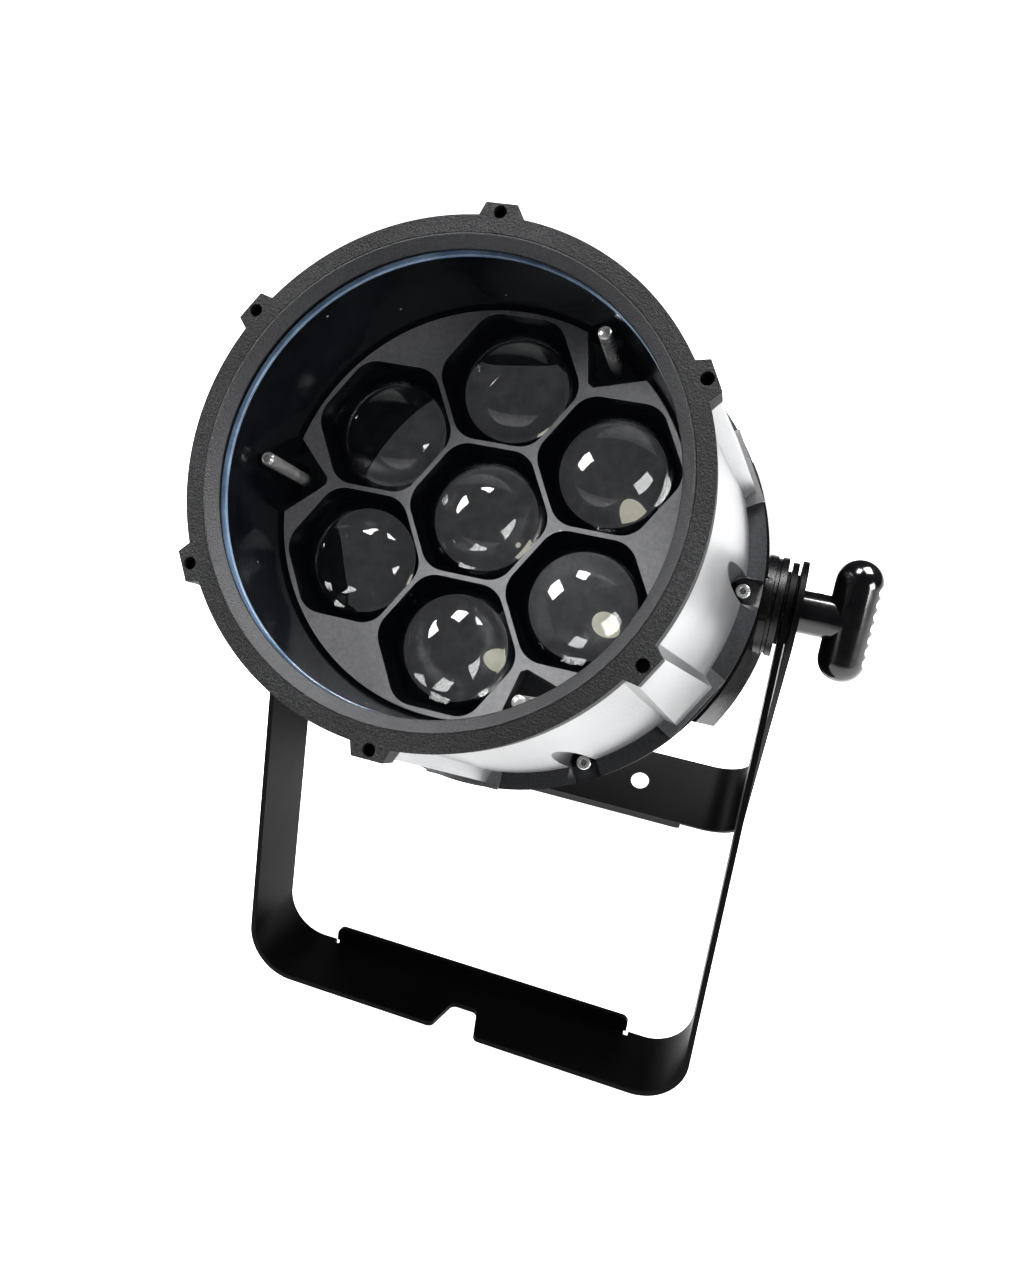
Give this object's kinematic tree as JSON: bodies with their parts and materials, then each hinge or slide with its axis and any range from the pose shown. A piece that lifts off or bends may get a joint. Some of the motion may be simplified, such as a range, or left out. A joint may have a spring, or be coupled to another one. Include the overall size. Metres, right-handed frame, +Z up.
{
  "type": "zoom par can light",
  "caption": "Outdoor stage par light: round zoom head with a honeycomb of clear lenses behind glass, tilting between two nested U brackets that fold out as a floor stand.",
  "frame": {"origin": "on the floor, under the middle of the whole object's box", "axes": "+Z up, -Y the way the light faces, +X along the pivot axis to the right seen from the front"},
  "size_m": [0.3596, 0.3664, 0.4806],
  "materials": {
    "textured_black": "fine textured black powder coat over cast aluminium",
    "black_casting": "satin black paint over cast aluminium",
    "satin_black": "satin black powder coat over steel plate",
    "anthracite": "satin dark grey paint over cast aluminium",
    "silver": "satin silver paint over cast aluminium",
    "tray_black": "satin moulded",
    "clear_glass": "polished clear",
    "steel": "bright",
    "bare_aluminium": "machined",
    "rubber": "matte",
    "gloss_black": "glossy moulding",
    "circuit": "solder mask"
  },
  "bodies": {
    "front_yoke": {"front_yoke": "satin_black", "left_inner_washer": "rubber", "right_inner_washer": "rubber", "left_outer_washer": "rubber", "right_outer_washer": "rubber"},
    "rear_yoke": {"rear_yoke": "satin_black"},
    "left_knob": {"left_knob": "gloss_black", "left_stud": "steel"},
    "right_knob": {"right_knob": "gloss_black", "right_stud": "steel"},
    "zoom_tray": {"lens_tray": "tray_black", "lens_1": "clear_glass", "lens_2": "clear_glass", "lens_3": "clear_glass", "lens_4": "clear_glass", "lens_5": "clear_glass", "lens_6": "clear_glass", "lens_7": "clear_glass"},
    "fan_rotor": {"fan_rotor": "gloss_black"},
    "lead_screw_1": {"lead_screw_1": "steel"},
    "lead_screw_2": {"lead_screw_2": "steel"},
    "lead_screw_3": {"lead_screw_3": "steel"},
    "button_1": {"button_1": "rubber"},
    "button_2": {"button_2": "rubber"},
    "button_3": {"button_3": "rubber"},
    "button_4": {"button_4": "rubber"},
    "head": {"body_flange": "anthracite", "carrier_plate": "bare_aluminium", "display_window": "gloss_black", "dmx_in_socket": "gloss_black", "dmx_out_socket": "gloss_black", "fan_frame": "gloss_black", "front_bezel": "textured_black", "front_glass": "clear_glass", "front_shell": "silver", "glass_gasket": "rubber", "heat_sink": "bare_aluminium", "inner_liner": "rubber", "led_board": "circuit", "left_pivot_bracket": "black_casting", "main_board": "circuit", "power_in_socket": "gloss_black", "power_out_socket": "gloss_black", "power_supply": "bare_aluminium", "rear_cover": "silver", "rear_housing": "silver", "right_pivot_bracket": "black_casting", "safety_eyelet": "steel", "shell_screw_1": "steel", "shell_screw_2": "steel", "shell_screw_3": "steel", "shell_screw_4": "steel", "shell_screw_5": "steel", "shell_screw_6": "steel", "vent_valve": "rubber", "zoom_motor_1": "gloss_black", "zoom_motor_2": "gloss_black", "zoom_motor_3": "gloss_black"}
  },
  "joints": [
    {"name": "head_tilt", "type": "hinge", "parent": "front_yoke", "child": "head", "pos_m": [0, 0.0239, 0.28518], "axis": [-1, 0, 0], "range_deg": [-130, 140]},
    {"name": "rear_yoke_swing", "type": "hinge", "parent": "front_yoke", "child": "rear_yoke", "pos_m": [0, 0.0239, 0.28518], "axis": [1, 0, 0], "range_deg": [-45, 135]},
    {"name": "left_knob_turn", "type": "hinge", "parent": "head", "child": "left_knob", "pos_m": [-0.168, 0.0239, 0.28518], "axis": [1, 0, 0], "continuous": true},
    {"name": "right_knob_turn", "type": "hinge", "parent": "head", "child": "right_knob", "pos_m": [0.168, 0.0239, 0.28518], "axis": [1, 0, 0], "continuous": true},
    {"name": "zoom_slide", "type": "slide", "parent": "head", "child": "zoom_tray", "axis": [0, -0.7842, 0.6205], "range_m": [-0.02, 0.026]},
    {"name": "lead_screw_1_spin", "type": "hinge", "parent": "head", "child": "lead_screw_1", "pos_m": [0.04335, -0.00793, 0.40611], "axis": [0, -0.7842, 0.6205], "continuous": true},
    {"name": "lead_screw_2_spin", "type": "hinge", "parent": "head", "child": "lead_screw_2", "pos_m": [-0.0867, -0.05452, 0.34723], "axis": [0, -0.7842, 0.6205], "continuous": true},
    {"name": "lead_screw_3_spin", "type": "hinge", "parent": "head", "child": "lead_screw_3", "pos_m": [0.04335, -0.10111, 0.28835], "axis": [0, -0.7842, 0.6205], "continuous": true},
    {"name": "button_1_press", "type": "slide", "parent": "head", "child": "button_1", "axis": [0, -0.7842, 0.6205], "range_m": [0, 0.001], "stiffness_N_per_m": 300},
    {"name": "button_2_press", "type": "slide", "parent": "head", "child": "button_2", "axis": [0, -0.7842, 0.6205], "range_m": [0, 0.001], "stiffness_N_per_m": 300},
    {"name": "button_3_press", "type": "slide", "parent": "head", "child": "button_3", "axis": [0, -0.7842, 0.6205], "range_m": [0, 0.001], "stiffness_N_per_m": 300},
    {"name": "button_4_press", "type": "slide", "parent": "head", "child": "button_4", "axis": [0, -0.7842, 0.6205], "range_m": [0, 0.001], "stiffness_N_per_m": 300},
    {"name": "fan_spin", "type": "hinge", "parent": "head", "child": "fan_rotor", "pos_m": [0, 0.0192, 0.28891], "axis": [0, -0.7842, 0.6205], "continuous": true}
  ],
  "couplings": [
    {"joint": "lead_screw_1_spin", "follows": "zoom_slide", "rad_per_m": 785.4},
    {"joint": "lead_screw_2_spin", "follows": "zoom_slide", "rad_per_m": 785.4},
    {"joint": "lead_screw_3_spin", "follows": "zoom_slide", "rad_per_m": 785.4}
  ]
}
